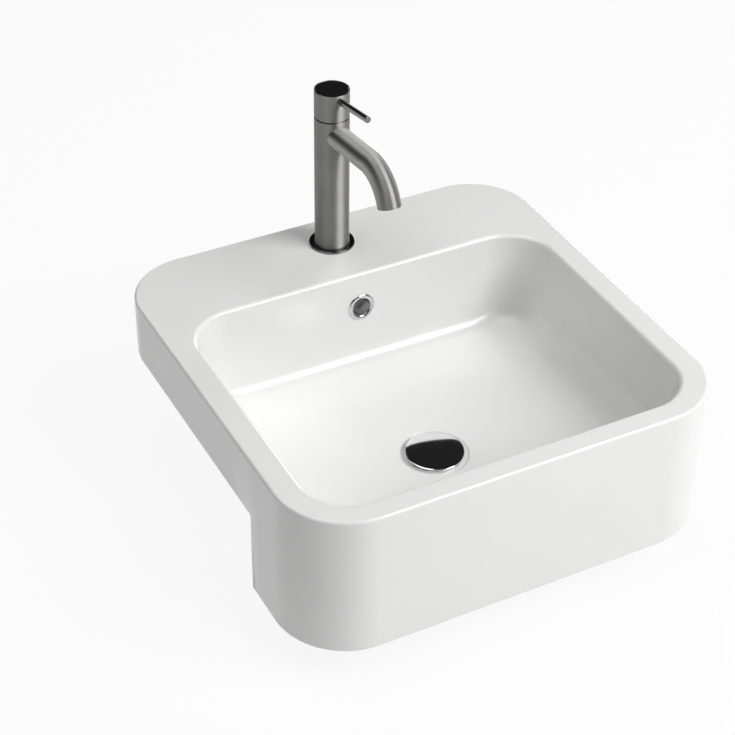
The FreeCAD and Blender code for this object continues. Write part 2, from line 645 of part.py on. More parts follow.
def waste_body():
    """The strainer flange and its threaded tail, with a spoked hub for the click cartridge."""
    flange_low, bevel = FLANGE_TOP - WASTE_FLANGE_THICKNESS, 0.8
    foot = FLANGE_TOP - TAIL_LENGTH
    groove = BOSS_FOOT - LOWER_SEAL - BACKNUT_HEIGHT - TAIL_GROOVE_DROP
    profile = [
        (TAIL_BORE, foot), (TAIL_RADIUS, foot), (TAIL_RADIUS, groove - TAIL_GROOVE),
        (TAIL_RADIUS - 1, groove - TAIL_GROOVE), (TAIL_RADIUS - 1, groove), (TAIL_RADIUS, groove),
        (TAIL_RADIUS, flange_low),
        (WASTE_FLANGE, flange_low), (WASTE_FLANGE, FLANGE_TOP - bevel), (WASTE_FLANGE - bevel, FLANGE_TOP),
        (TAIL_BORE + 2, FLANGE_TOP), (TAIL_BORE, FLANGE_TOP - 2),
    ]
    body = turned(profile, 0, OUTLET_Y)
    hub_low = HUB_TOP - HUB_HEIGHT
    hub = [rod(CLICK_RADIUS + 3, hub_low, HUB_TOP, 0, OUTLET_Y)]
    for number in range(3):
        spoke = block((0, TAIL_BORE + 1), (-1.5, 1.5), (hub_low, HUB_TOP))
        spoke.rotate(Vector(), UP, 30 + 120 * number)
        hub.append(spoke.translated(Vector(0, OUTLET_Y, 0)))
    body = body.fuse(hub).removeSplitter()
    slot_low = RIM - OUTLET_DROP - BOWL_WALL - WAY_FALL
    slot = block((-6, 6), (OUTLET_Y + 8, OUTLET_Y + TAIL_RADIUS + 1), (slot_low, slot_low + WAY_FALL - 2))
    front_slot = slot.mirror(Vector(0, OUTLET_Y, 0), Vector(0, 1, 0))
    window_wall = ring(TAIL_RADIUS + 1, TAIL_BORE - 0.5, slot_low, slot_low + WAY_FALL, 0, OUTLET_Y)
    return body.cut([
        rod(CLICK_RADIUS + RUNNING, hub_low - 1, HUB_TOP + 1, 0, OUTLET_Y),
        slot.common(window_wall),
        front_slot.common(window_wall),
    ])


def waste_seal():
    """The washer that is drawn up against the outlet boss."""
    return ring(BOSS_RADIUS - 2, TAIL_RADIUS + SNUG, BOSS_FOOT - LOWER_SEAL, BOSS_FOOT, 0, OUTLET_Y)


def waste_nut():
    top = BOSS_FOOT - LOWER_SEAL
    nut = hexagon(BACKNUT_FLATS, top - BACKNUT_HEIGHT, top, 0, OUTLET_Y)
    return nut.cut(rod(TAIL_RADIUS + SNUG, top - BACKNUT_HEIGHT - 1, top + 1, 0, OUTLET_Y))


PLUNGER_FOOT = FLANGE_TOP - 47.0
CLICK_FOOT = PLUNGER_FOOT - 3.0


def click_cartridge():
    """The latch that holds the plug up or lets it down, one closed barrel with a bore on top."""
    barrel = rod(CLICK_RADIUS, CLICK_FOOT, HUB_TOP + 2, 0, OUTLET_Y)
    collar = hexagon(16.0, HUB_TOP, HUB_TOP + 3, 0, OUTLET_Y)
    bore = rod(PLUNGER_RADIUS + RUNNING, PLUNGER_FOOT - 1, HUB_TOP + 4, 0, OUTLET_Y)
    return barrel.fuse(collar).removeSplitter().cut(bore)


def plug_cap():
    """A low-crowned cap, hollow below, with a boss for the plunger."""
    crown = FLANGE_TOP + PLUG_CROWN
    foot = FLANGE_TOP + EASY
    shoulder = foot + PLUG_EDGE
    under = shoulder - 0.9
    profile = [
        (0, under - 7), (8, under - 7), (8, under), (PLUG_RADIUS - 2, under), (PLUG_RADIUS - 2, foot),
        (PLUG_RADIUS, foot), (PLUG_RADIUS, shoulder), (PLUG_RADIUS - 0.7, shoulder + 0.7),
        (PLUG_RADIUS * 0.6, crown), (0, crown),
    ]
    cap = turned(profile, 0, OUTLET_Y)
    return cap.cut(rod(PLUNGER_RADIUS + RUNNING, under - 8, under - 1, 0, OUTLET_Y))


def plug_seal():
    top = FLANGE_TOP + EASY + PLUG_EDGE - 0.9
    return ring(TAIL_BORE + 8.5, TAIL_BORE + 3, FLANGE_TOP, top, 0, OUTLET_Y)


def plug_stem():
    top = FLANGE_TOP + EASY + PLUG_EDGE - 0.9 - 1
    bevel = 0.6
    profile = [
        (0, PLUNGER_FOOT), (PLUNGER_RADIUS - bevel, PLUNGER_FOOT), (PLUNGER_RADIUS, PLUNGER_FOOT + bevel),
        (PLUNGER_RADIUS, top), (0, top),
    ]
    return turned(profile, 0, OUTLET_Y)


# ---------------------------------------------------------------- build
PIECES = [
    basin_body, overflow_ring,
    base_flange, tap_core, tap_body, spout_tube, aerator_ring, aerator_core,
    cartridge_housing, fixed_disc, cartridge_nut, fixing_stud, clamp_rubber, clamp_plate, fixing_nut,
    lever_guide, lever_axle, moving_disc,
    lever_stem, handle_cap, handle_top_disc, handle_screw, lever_pin,
    waste_body, waste_seal, waste_nut, click_cartridge,
    plug_cap, plug_seal, plug_stem,
]

os.makedirs("parts", exist_ok=True)
for piece in PIECES:
    shape = piece()
    shape.exportStep(f"parts/{piece.__name__}.step")
    spans = [round(v, 1) for v in (shape.BoundBox.XLength, shape.BoundBox.YLength, shape.BoundBox.ZLength)]
    print(piece.__name__, spans, f"{len(shape.Solids)} solid", f"valid {shape.isValid()}")
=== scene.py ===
"""The looks of a semi-recessed basin with a single-lever tap and a push waste.

The pieces that show are modelled again round their CAD nodes, with rounder edges and finer
sweeps, and ride on those nodes' bodies. Every other node keeps its CAD shape and takes a finish.
"""
import json
import math

import bmesh
import bpy
from mathutils import Matrix, Vector

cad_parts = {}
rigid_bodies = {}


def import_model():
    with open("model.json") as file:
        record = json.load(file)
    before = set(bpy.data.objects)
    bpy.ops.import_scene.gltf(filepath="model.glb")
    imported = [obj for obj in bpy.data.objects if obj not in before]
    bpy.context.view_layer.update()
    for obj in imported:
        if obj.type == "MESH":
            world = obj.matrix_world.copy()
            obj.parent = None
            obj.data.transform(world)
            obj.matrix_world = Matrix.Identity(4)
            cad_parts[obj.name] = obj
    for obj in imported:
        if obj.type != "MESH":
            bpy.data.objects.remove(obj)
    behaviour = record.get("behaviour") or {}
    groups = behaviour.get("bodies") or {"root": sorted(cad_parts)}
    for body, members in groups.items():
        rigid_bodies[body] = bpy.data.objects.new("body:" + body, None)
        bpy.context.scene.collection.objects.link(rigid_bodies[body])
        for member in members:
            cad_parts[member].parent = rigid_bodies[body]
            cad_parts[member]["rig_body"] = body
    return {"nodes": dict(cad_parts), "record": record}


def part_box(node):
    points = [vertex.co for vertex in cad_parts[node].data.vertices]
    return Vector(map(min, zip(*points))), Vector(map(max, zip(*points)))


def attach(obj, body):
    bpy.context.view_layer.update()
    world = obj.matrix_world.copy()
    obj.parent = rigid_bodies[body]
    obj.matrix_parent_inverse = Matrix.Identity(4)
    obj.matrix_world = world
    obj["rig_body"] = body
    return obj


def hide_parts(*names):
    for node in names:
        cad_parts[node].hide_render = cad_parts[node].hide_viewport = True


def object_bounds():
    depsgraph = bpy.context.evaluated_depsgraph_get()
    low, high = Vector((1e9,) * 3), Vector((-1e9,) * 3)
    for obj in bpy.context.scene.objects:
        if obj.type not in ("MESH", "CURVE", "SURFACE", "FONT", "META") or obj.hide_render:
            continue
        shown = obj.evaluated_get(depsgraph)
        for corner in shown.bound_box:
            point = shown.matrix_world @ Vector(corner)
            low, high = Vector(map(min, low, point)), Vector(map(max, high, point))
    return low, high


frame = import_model()
cad_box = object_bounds()
bpy.ops.object.select_all(action="DESELECT")

# ---------------------------------------- for the modelling
NEAR = 1e-5                     # metres: points as close as this are level
MERGE = 1e-6                    # metres: points as close as this are one
MARGIN = 0.001                  # metres: room round a place where edges are looked for
CUT_PAST = 0.010                # metres: how far a cutter goes past the wall that it cuts
CLEARANCE = 0.00005             # metres: of a hole round what goes through it
ROUND_POINTS = 64               # points on a small circle
CORNER_STEPS, SIDE_STEPS = 24, 9
SWEEP_STEPS, BEND_STEPS = 14, 24
SHARP_ANGLE = 0.9               # radians between two faces, from where their edge is rounded
FLAT_ANGLE, CREASE_ANGLE = math.radians(1.0), math.radians(50.0)

# ---------------------------------------- the basin, in metres
BASIN_LOW, BASIN_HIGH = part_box("basin_body")
RIM = BASIN_HIGH.z
APRON_BACK = -0.359             # the deep front part ends here
OUTER_WALL = 0.012
LEDGE_FOOT = RIM - 0.014        # underside of the tap's ledge
FRONT_CORNER, BACK_CORNER = 0.080, 0.075
OUTER_EDGE, MOUTH_EDGE, FOOT_EDGE = 0.0035, 0.005, 0.003

BOWL_HALF, BOWL_FRONT, BOWL_BACK = 0.2194, -0.4674, -0.1163
BOWL_CORNER = 0.054
BOWL_WALL = 0.011
BOWL_FLOOR = -0.041
BOWL_LEAN = math.radians(4.0)
SIDE_SWEEP, FRONT_SWEEP, BACK_SWEEP = 0.040, 0.030, 0.020

OUTLET_Y = -0.298
BOSS_RADIUS = 0.036
OUTLET = (                      # radius and height, from the floor's dish to the boss below
    (0.0396, -0.0567), (0.0388, -0.0571), (0.0380, -0.0580), (0.0370, -0.0590),
    (0.0356, -0.0594), (0.0230, -0.0594), (0.0230, -0.0960), (BOSS_RADIUS, -0.0960),
    (BOSS_RADIUS, -0.0700),
)
BOWL_MIDDLE = Vector((0.0, OUTLET_Y, 0.03))
CHANNEL_HALF, CHANNEL_DEPTH = 0.022, 0.015
CHANNEL_TOP, CHANNEL_BACK = 0.052, -0.095
OVERFLOW_HOLE, OVERFLOW_DROP, OVERFLOW_DEPTH = 0.012, 0.044, 0.018
WAY_HALF, WAY_GAP, WAY_LENGTH, WAY_DROP = 0.016, 0.009, 0.066, 0.022
TAP_Y, TAP_HOLE = -0.044, 0.0175
FLANGE_LAP, FLANGE_EDGE = 0.0004, 0.0006

# ---------------------------------------- the tap, the ring and the waste's cap, in metres
SPOUT_RADIUS, SPOUT_BORE, SPOUT_EDGE = 0.01325, 0.0115, 0.00025
SPOUT_ROOT = Vector((0.0, TAP_Y, 0.219))    # where its axis crosses the tap's axis
SPOUT_SLOPE, SPOUT_TURN = math.radians(6.3), math.radians(76.7)
SPOUT_RUN, SPOUT_BEND = 0.0895, 0.0466
BODY_BORE, BODY_EDGE, HANDLE_GAP = 0.017, 0.0005, 0.0008
CAP_WALL, CAP_HEAD, CAP_EDGE = 0.0025, 0.017, 0.0003
DISC_WALL, DISC_DEPTH = 0.00115, 0.0016
RELIEF_START, RELIEF_SLOPE = 0.004, math.radians(10.0)
PIN_RADIUS, PIN_REACH, PIN_EDGE = 0.00375, 0.067, 0.0007
PIN_SOCKET, PIN_GAP = 0.012, 0.0001
PIN_DROP, PIN_SLOPE = 0.0058, math.radians(9.5)
PLUG_NECK = 0.0049              # below the cap's lower edge
PLUG_PROFILE = (                # radius and height over the cap's lower edge
    (0.0041, 0.0011), (0.0041, -PLUG_NECK), (0.0080, -PLUG_NECK), (0.0080, 0.0021),
    (0.0305, 0.0021), (0.0305, 0.0), (0.0314, 0.0), (0.0324, 0.0006), (0.0331, 0.0013),
    (0.0333, 0.0020), (0.0332, 0.0024), (0.0328, 0.0027), (0.0322, 0.0029), (0.0280, 0.00341),
    (0.0240, 0.00383), (0.0200, 0.00419), (0.0160, 0.00448), (0.0120, 0.00471),
    (0.0080, 0.00487), (0.0040, 0.0050),
)
OVERFLOW_PROFILE = (            # radius and height over the wall
    (0.0108, -0.0130), (0.0118, -0.0130), (0.0118, 0.0), (0.0165, 0.0), (0.0165, 0.0006),
    (0.0161, 0.0013), (0.0152, 0.0019), (0.0141, 0.0021), (0.0129, 0.0018), (0.0117, 0.0012),
    (0.0108, 0.0004), (0.0108, -0.0130),
)
SOFT_EDGE = 0.0003
SOFTENED = "waste_body", "waste_nut", "aerator_ring", "clamp_plate", "clamp_rubber", "fixing_nut"

# ---------------------------------------- the studio
CAMERA_PLACE = Vector((-0.8256, -1.6997, 1.2958))
CAMERA_TURNS = 27.84, 37.237, 0.777         # yaw, pitch and roll, in degrees
CAMERA_LENS, CAMERA_SENSOR = 93.45, 36.0    # millimetres
CAMERA_FAR = 50.0
BASIN_CENTRE, LEDGE_CENTRE = (0.0, -0.25, 0.0), (0.0, -0.1, 0.2)
FLOOR_SIZE, FLOOR_GAP, FLOOR_GLOW = 14.0, 0.001, 0.9
SKY_STOPS = (0.04, 0.95), (0.24, 0.08), (0.46, 0.02)    # height of a direction, and its shade
SKY_STRENGTH, SKY_SLANT = 0.80, 0.42


# ---------------------------------------- shader nodes
class Value:
    """A socket's number, on which Python's arithmetic adds Math nodes."""

    def __init__(self, nodes, socket):
        self.nodes, self.socket = nodes, socket

    def combined(self, operation, first, second):
        inputs = {0: first, 1: second}
        return self.nodes.value("ShaderNodeMath", {"operation": operation}, inputs)

    def __add__(self, other):
        return self.combined("ADD", self, other)

    def __radd__(self, other):
        return self.combined("ADD", other, self)

    def __sub__(self, other):
        return self.combined("SUBTRACT", self, other)

    def __rsub__(self, other):
        return self.combined("SUBTRACT", other, self)

    def __mul__(self, other):
        return self.combined("MULTIPLY", self, other)

    def __rmul__(self, other):
        return self.combined("MULTIPLY", other, self)


class Nodes:
    """A tree of shader nodes, to which every node is added in one way."""

    def __init__(self, tree):
        self.tree = tree

    def node(self, kind, settings, inputs):
        made = self.tree.nodes.new(kind)
        for name, setting in settings.items():
            if name == "stops":
                self.set_stops(made.color_ramp, setting)
            else:
                setattr(made, name, setting)
        self.feed(made, inputs)
        return made

    def feed(self, node, inputs):
        for key, given in inputs.items():
            if isinstance(given, Value):
                self.tree.links.new(given.socket, node.inputs[key])
            else:
                node.inputs[key].default_value = given

    def set_stops(self, ramp, stops):
        while len(ramp.elements) < len(stops):
            ramp.elements.new(1.0)
        for element, (place, shade) in zip(ramp.elements, stops):
            element.position, element.color = place, (shade, shade, shade, 1.0)

    def value(self, kind, settings, inputs, output=0):
        return Value(self, self.node(kind, settings, inputs).outputs[output])


class Finish(Nodes):
    """A material, built on its principled shader."""

    def __init__(self, name, sockets):
        self.material = bpy.data.materials.new(name)
        self.material.use_nodes = True
        super().__init__(self.material.node_tree)
        self.shader = self.tree.nodes["Principled BSDF"]
        self.feed(self.shader, sockets)

    def place(self, stretch=(1.0, 1.0, 1.0)):
        """The point on the object, in metres, stretched along each axis."""
        point = self.value("ShaderNodeTexCoord", {}, {}, "Object")
        return self.value("ShaderNodeMapping", {}, {"Vector": point, "Scale": stretch})

    def noise(self, scale, detail=3.0, stretch=(1.0, 1.0, 1.0)):
        """A number from 0 to 1 that wanders over the surface."""
        inputs = {"Vector": self.place(stretch), "Scale": scale, "Detail": detail}
        return self.value("ShaderNodeTexNoise", {}, inputs)

    def blend(self, factor, first, second):
        """A colour that runs from one to another."""
        inputs = {0: factor, 6: (*first, 1.0), 7: (*second, 1.0)}
        return self.value("ShaderNodeMix", {"data_type": "RGBA"}, inputs, output=2)

    def relief(self, height, depth, strength):
        inputs = {"Strength": strength, "Distance": depth, "Height": height}
        self.feed(self.shader, {"Normal": self.value("ShaderNodeBump", {}, inputs)})


# ---------------------------------------- finishes
def glaze():
    made = Finish("glaze", {"IOR": 1.52})
    cloud, orange_peel = made.noise(7.0, 2.0), made.noise(160.0, 2.0)
    made.feed(made.shader, {
        "Base Color": made.blend(cloud, (0.835, 0.835, 0.83), (0.87, 0.87, 0.865)),
        "Roughness": 0.17 + 0.06 * made.noise(30.0),
    })
    made.relief(orange_peel, 0.00005, 0.3)
    return made.material


def brushed_steel():
    """Turned on a lathe, so its fine strokes run round the tap."""
    made = Finish("brushed_steel", {
        "Metallic": 1.0, "Anisotropic": 0.92, "Anisotropic Rotation": 0.25,
    })
    strokes, cloud = made.noise(2600.0, 4.0, (0.03, 0.03, 1.0)), made.noise(35.0, 3.0)
    made.feed(made.shader, {
        "Base Color": made.blend(cloud, (0.36, 0.358, 0.352), (0.43, 0.428, 0.421)),
        "Roughness": 0.54 + 0.06 * strokes,
    })
    made.relief(strokes, 0.00005, 0.2)
    return made.material


def polished_metal(name, dark, light, roughness):
    made = Finish(name, {"Metallic": 1.0})
    smudge = made.noise(60.0, 3.0)
    made.feed(made.shader, {
        "Base Color": made.blend(smudge, dark, light),
        "Roughness": roughness + 0.05 * smudge,
    })
    made.relief(made.noise(500.0, 2.0), 0.00001, 0.2)
    return made.material


def machined_metal(name, dark, light):
    made = Finish(name, {"Metallic": 1.0})
    turning = made.noise(700.0, 3.0, (1.0, 1.0, 6.0))
    made.feed(made.shader, {
        "Base Color": made.blend(turning, dark, light),
        "Roughness": 0.28 + 0.18 * turning,
    })
    made.relief(turning, 0.00004, 0.4)
    return made.material


def moulded(name, dark, light, roughness):
    made = Finish(name, {})
    grain = made.noise(420.0, 4.0)
    made.feed(made.shader, {
        "Base Color": made.blend(made.noise(25.0), dark, light),
        "Roughness": roughness + 0.12 * grain,
    })
    made.relief(grain, 0.00005, 0.4)
    return made.material


finishes = {
    "glaze": glaze(),
    "chrome": polished_metal("chrome", (0.66, 0.66, 0.67), (0.74, 0.74, 0.75), 0.05),
    "polished_steel": polished_metal(
        "polished_steel", (0.20, 0.20, 0.20), (0.25, 0.25, 0.25), 0.07
    ),
    "brushed_steel": brushed_steel(),
    "fixing_steel": machined_metal("fixing_steel", (0.45, 0.46, 0.48), (0.58, 0.59, 0.60)),
    "brass": machined_metal("brass", (0.55, 0.40, 0.17), (0.72, 0.55, 0.27)),
    "grey_plastic": moulded("grey_plastic", (0.34, 0.35, 0.36), (0.42, 0.43, 0.44), 0.38),
    "disc_ceramic": moulded("disc_ceramic", (0.74, 0.73, 0.69), (0.82, 0.81, 0.78), 0.22),
    "rubber": moulded("rubber", (0.018, 0.018, 0.018), (0.035, 0.035, 0.035), 0.55),
    "black_gloss": moulded("black_gloss", (0.006, 0.006, 0.0065), (0.012, 0.012, 0.0125), 0.06),
}
node_slots = {part["node"]: part["material_slot"] for part in frame["record"]["subparts"]}
for node_name, node in frame["nodes"].items():
    for slot in node.material_slots:
        slot.material = finishes[node_slots[node_name]]


# ---------------------------------------- modelling
def pick(piece):
    """Selects this piece alone."""
    bpy.ops.object.select_all(action="DESELECT")
    bpy.context.view_layer.objects.active = piece
    piece.select_set(True)


def open_piece(name):
    """An empty mesh, open for editing."""
    bpy.ops.mesh.primitive_plane_add(size=1.0)
    piece = bpy.context.object
    piece.name = name
    bpy.ops.object.mode_set(mode="EDIT")
    bpy.ops.mesh.delete(type="VERT")
    return piece


def edited():
    return bmesh.from_edit_mesh(bpy.context.object.data)


def choose(kind, wanted):
    """Chooses the points, edges or faces of the mesh being edited that pass a test."""
    bpy.ops.mesh.select_all(action="DESELECT")
    mesh = edited()
    mesh.select_mode = {kind}
    for part in {"VERT": mesh.verts, "EDGE": mesh.edges, "FACE": mesh.faces}[kind]:
        part.select_set(wanted(part))
    mesh.select_flush_mode()
    bmesh.update_edit_mesh(bpy.context.object.data)


def middle(edge):
    return (edge.verts[0].co + edge.verts[1].co) / 2


def level(part, height):
    return all(abs(point.co.z - height) < NEAR for point in part.verts)


def outline(half, front, back, height, front_corner, back_corner):
    """Adds a rounded rectangle of edges, with as many points whatever its size."""
    centre = (0.0, (front + back) / 2, height)
    bpy.ops.mesh.primitive_plane_add(size=1.0, location=centre)
    bpy.ops.transform.resize(value=(2 * half, back - front, 1.0), center_override=centre)
    for y, radius in ((front, front_corner), (back, back_corner)):
        corner = Vector((half, y, height))
        choose("VERT", lambda point:
               (Vector((abs(point.co.x), *point.co.yz)) - corner).length < NEAR)
        bpy.ops.mesh.bevel(offset=radius, segments=CORNER_STEPS, affect="VERTICES", profile=0.5)

    def is_plate(face):
        return level(face, height) and len(face.verts) > 4 * CORNER_STEPS

    plate = next(face for face in edited().faces if is_plate(face))
    longest_step = 3 * back_corner / CORNER_STEPS
    sides = {edge.index for edge in plate.edges if edge.calc_length() > longest_step}
    choose("EDGE", lambda edge: edge.index in sides)
    bpy.ops.mesh.subdivide(number_cuts=SIDE_STEPS)
    choose("FACE", is_plate)
    bpy.ops.mesh.delete(type="ONLY_FACE")
    choose("EDGE", lambda edge: level(edge, height) and not edge.link_faces)


def circle(radius, y, height):
    """Adds a circle of edges with as many points as an outline."""
    bpy.ops.mesh.primitive_circle_add(
        vertices=4 * (CORNER_STEPS + 1 + SIDE_STEPS), radius=radius, location=(0.0, y, height)
    )


def draw_on(half, front, back, height):
    """Extrudes the chosen loop of edges, and stretches its new end to these extents."""
    points = [point.co for point in edited().verts if point.select]
    old_half, old_height = max(point.x for point in points), points[0].z
    old_front, old_back = min(point.y for point in points), max(point.y for point in points)
    centre = (0.0, (old_front + old_back) / 2, old_height)
    bpy.ops.mesh.extrude_region_move()
    stretch = (half / old_half, (back - front) / (old_back - old_front), 1.0)
    bpy.ops.transform.resize(value=stretch, center_override=centre)
    bpy.ops.transform.translate(value=(0.0, (front + back) / 2 - centre[1], height - old_height))


def turned(profile, y):
    """Adds a turned surface: a circle drawn on through a profile of radii and heights."""
    (radius, height), *others = profile
    circle(radius, y, height)
    for radius, height in others:
        draw_on(radius, y - radius, y + radius, height)


def bridge(first, second, cuts=0):
    """Joins the open loops at these two heights with faces.
    It does one half at a time, so that they don't twist."""
    for side in (-1, 1):
        choose("EDGE", lambda edge: len(edge.link_faces) == 1 and middle(edge).x * side > 0
               and (level(edge, first) or level(edge, second)))
        bpy.ops.mesh.bridge_edge_loops(number_cuts=cuts, interpolation="LINEAR")


def close_up():
    """Merges the seams, and turns every face outwards."""
    bpy.ops.mesh.select_all(action="SELECT")
    bpy.ops.mesh.remove_doubles(threshold=MERGE)
    bpy.ops.mesh.normals_make_consistent(inside=False)


def round_edges(wanted, radius, steps):
    """Rounds the sharp edges that pass a test."""
    choose("EDGE", lambda edge: edge.calc_face_angle(0.0) > SHARP_ANGLE and wanted(edge))
    bpy.ops.mesh.bevel(offset=radius, segments=steps, affect="EDGES", profile=0.5)


def apply_modifier(piece, kind, **settings):
    pick(piece)
    modifier = piece.modifiers.new(kind.lower(), kind)
    for name, setting in settings.items():
        setattr(modifier, name, setting)
    bpy.ops.object.modifier_apply(modifier=modifier.name)


def cut_away(piece, cutter):
    apply_modifier(piece, "BOOLEAN", object=cutter, operation="DIFFERENCE", solver="EXACT")
    bpy.data.objects.remove(cutter)


def cut_hole(piece, radius, low, high):
    """Cuts a round hole between two points."""
    way = high - low
    bpy.ops.mesh.primitive_cylinder_add(
        vertices=ROUND_POINTS, radius=radius, depth=way.length, location=(low + high) / 2,
        rotation=way.to_track_quat("Z", "Y").to_euler()
    )
    cut_away(piece, bpy.context.object)


def hand_over(piece, node, smooth=35.0):
    """Finishes a piece that stands for a CAD node: it rides as the node does, and takes its slot.
    Faces that meet at less than the angle smooth, in degrees, are shaded as one."""
    pick(piece)
    bpy.ops.object.transform_apply()
    bpy.ops.object.shade_smooth_by_angle(angle=math.radians(smooth))
    apply_modifier(piece, "WEIGHTED_NORMAL", keep_sharp=True, weight=80)
    piece.data.materials.clear()
    piece.data.materials.append(finishes[node_slots[node]])
    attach(piece, frame["nodes"][node]["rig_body"])
    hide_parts(node)


def forward(angle):
    """The way to the front, tipped up by an angle."""
    return Vector((0.0, -math.cos(angle), math.sin(angle)))


def below(angle):
    """The way down that is square to the way to the front, tipped up by an angle."""
    return Vector((0.0, -math.sin(angle), -math.cos(angle)))


# ---------------------------------------- the casting
def bowl_extents(height, grown):
    """Half width, front and back of the bowl at a height.
    Its walls lean, and a different sweep leads from each to the floor.
    With the wall's thickness as grown, they are those of its outside."""
    floor = BOWL_FLOOR - grown
    insets = []
    for sweep in (SIDE_SWEEP + grown, FRONT_SWEEP + grown, BACK_SWEEP + grown):
        if height > floor + sweep * (1 - math.sin(BOWL_LEAN)):
            insets.append(math.tan(BOWL_LEAN) * (RIM - height))
        else:
            turn = math.asin(min(1.0, 1 - (height - floor) / sweep))
            corner = math.tan(BOWL_LEAN) * (RIM - floor)
            start = math.tan(math.pi / 4 - BOWL_LEAN / 2)
            insets.append(corner + sweep * (start - math.cos(turn)))
    side, front, back = insets
    return BOWL_HALF + grown - side, BOWL_FRONT - grown + front, BOWL_BACK + grown - back


def bowl_side(top, grown):
    """One side of the bowl's wall, drawn from its top down through the sweeps to its floor."""
    outline(*bowl_extents(top, grown), top, BOWL_CORNER + grown, BOWL_CORNER + grown)
    for step in range(SWEEP_STEPS + 1):
        turn = BOWL_LEAN + (math.pi / 2 - BOWL_LEAN) * step / SWEEP_STEPS
        height = BOWL_FLOOR - grown + (SIDE_SWEEP + grown) * (1 - math.sin(turn))
        draw_on(*bowl_extents(height, grown), height)


def outer_wall():
    """The wall round the outside, with a deep apron round its front part."""
    outline(BASIN_HIGH.x, BASIN_LOW.y, BASIN_HIGH.y, RIM, FRONT_CORNER, BACK_CORNER)
    draw_on(BASIN_HIGH.x, BASIN_LOW.y, BASIN_HIGH.y, 0.0)
    inner = BASIN_HIGH.x - OUTER_WALL, BASIN_LOW.y + OUTER_WALL, BASIN_HIGH.y - OUTER_WALL
    draw_on(*inner, 0.0)
    draw_on(*inner, LEDGE_FOOT)
    for x in (BASIN_HIGH.x, inner[0]):
        column = [point.co.y for point in edited().verts if abs(abs(point.co.x) - x) < NEAR]
        nearest = min(column, key=lambda y: abs(y - APRON_BACK))
        choose("VERT", lambda point:
               abs(abs(point.co.x) - x) < NEAR and abs(point.co.y - nearest) < NEAR)
        bpy.ops.transform.translate(value=(0.0, APRON_BACK - nearest, 0.0))
    choose("FACE", lambda face:
           level(face, 0.0) and face.calc_center_median().y < APRON_BACK)
    bpy.ops.mesh.extrude_region_move(TRANSFORM_OT_translate={"value": (0.0, 0.0, BASIN_LOW.z)})


def overflow_channel():
    """The hidden way from the overflow to the outlet, a raised band down the bowl's outside."""
    def outside(face, half, top):
        centre = face.calc_center_median()
        return (
            abs(centre.x) < half and centre.z < top
            and OUTLET_Y + BOSS_RADIUS < centre.y < CHANNEL_BACK
            and face.normal.dot(centre - BOWL_MIDDLE) > 0
        )

    for place, across in (
        ((CHANNEL_HALF, 0.0, 0.0), (1, 0, 0)), ((-CHANNEL_HALF, 0.0, 0.0), (1, 0, 0)),
        ((0.0, 0.0, CHANNEL_TOP), (0, 0, 1)),
    ):
        choose("FACE", lambda face: outside(face, 4 * CHANNEL_HALF, LEDGE_FOOT - 10 * NEAR))
        bpy.ops.mesh.bisect(plane_co=place, plane_no=across)
    choose("FACE", lambda face: outside(face, CHANNEL_HALF, CHANNEL_TOP))
    bpy.ops.mesh.extrude_region_move()
    bpy.ops.transform.shrink_fatten(value=CHANNEL_DEPTH, use_even_offset=True)


def overflow_place():
    """The middle of the overflow on the bowl's back wall, and the way out of the wall."""
    place = Vector((0.0, BOWL_BACK - math.tan(BOWL_LEAN) * OVERFLOW_DROP, RIM - OVERFLOW_DROP))
    return place, forward(BOWL_LEAN)


def basin_casting():
    piece = open_piece("basin_casting")
    outer_wall()
    bowl_side(RIM, 0.0)
    bowl_side(LEDGE_FOOT, BOWL_WALL)
    turned(OUTLET, OUTLET_Y)
    bridge(RIM, RIM)
    bridge(LEDGE_FOOT, LEDGE_FOOT)
    bridge(BOWL_FLOOR, OUTLET[0][1], cuts=4)
    bridge(BOWL_FLOOR - BOWL_WALL, OUTLET[-1][1], cuts=2)
    close_up()
    overflow_channel()
    close_up()

    def at_mouth(edge):
        place = middle(edge)
        return (
            level(edge, RIM) and abs(place.x) < BOWL_HALF + MARGIN
            and BOWL_FRONT - MARGIN < place.y < BOWL_BACK + MARGIN
        )

    def at_foot(edge):
        return level(edge, BASIN_LOW.z) and middle(edge).y < APRON_BACK - MARGIN

    round_edges(at_mouth, MOUTH_EDGE, steps=6)
    round_edges(lambda edge: level(edge, RIM), OUTER_EDGE, steps=5)
    round_edges(at_foot, FOOT_EDGE, steps=4)
    bpy.ops.object.mode_set(mode="OBJECT")

    low, high = (Vector((0.0, TAP_Y, z)) for z in (LEDGE_FOOT - CUT_PAST, RIM + CUT_PAST))
    cut_hole(piece, TAP_HOLE, low, high)
    place, out = overflow_place()
    cut_hole(piece, OVERFLOW_HOLE, place - OVERFLOW_DEPTH * out, place + CUT_PAST * out)
    way_middle = place - (BOWL_WALL + WAY_GAP / 2) * out + WAY_DROP * below(BOWL_LEAN)
    bpy.ops.mesh.primitive_cube_add(
        size=1.0, location=way_middle, scale=(2 * WAY_HALF, WAY_GAP, WAY_LENGTH),
        rotation=(-BOWL_LEAN, 0.0, 0.0)
    )
    cut_away(piece, bpy.context.object)
    hand_over(piece, "basin_body")


# ---------------------------------------- the tap, the overflow's ring and the waste's cap
def turned_piece(name, profile, y=0.0, rounding=0.0):
    """A turned piece. Where its profile doesn't close, its two ends are flat."""
    piece = open_piece(name)
    turned(profile, y)
    if profile[0] != profile[-1]:
        for radius, height in (profile[0], profile[-1]):
            choose("EDGE", lambda edge: len(edge.link_faces) == 1 and level(edge, height))
            bpy.ops.mesh.edge_face_add()
    close_up()
    if rounding:
        round_edges(lambda edge: True, rounding, steps=3)
    bpy.ops.object.mode_set(mode="OBJECT")
    return piece


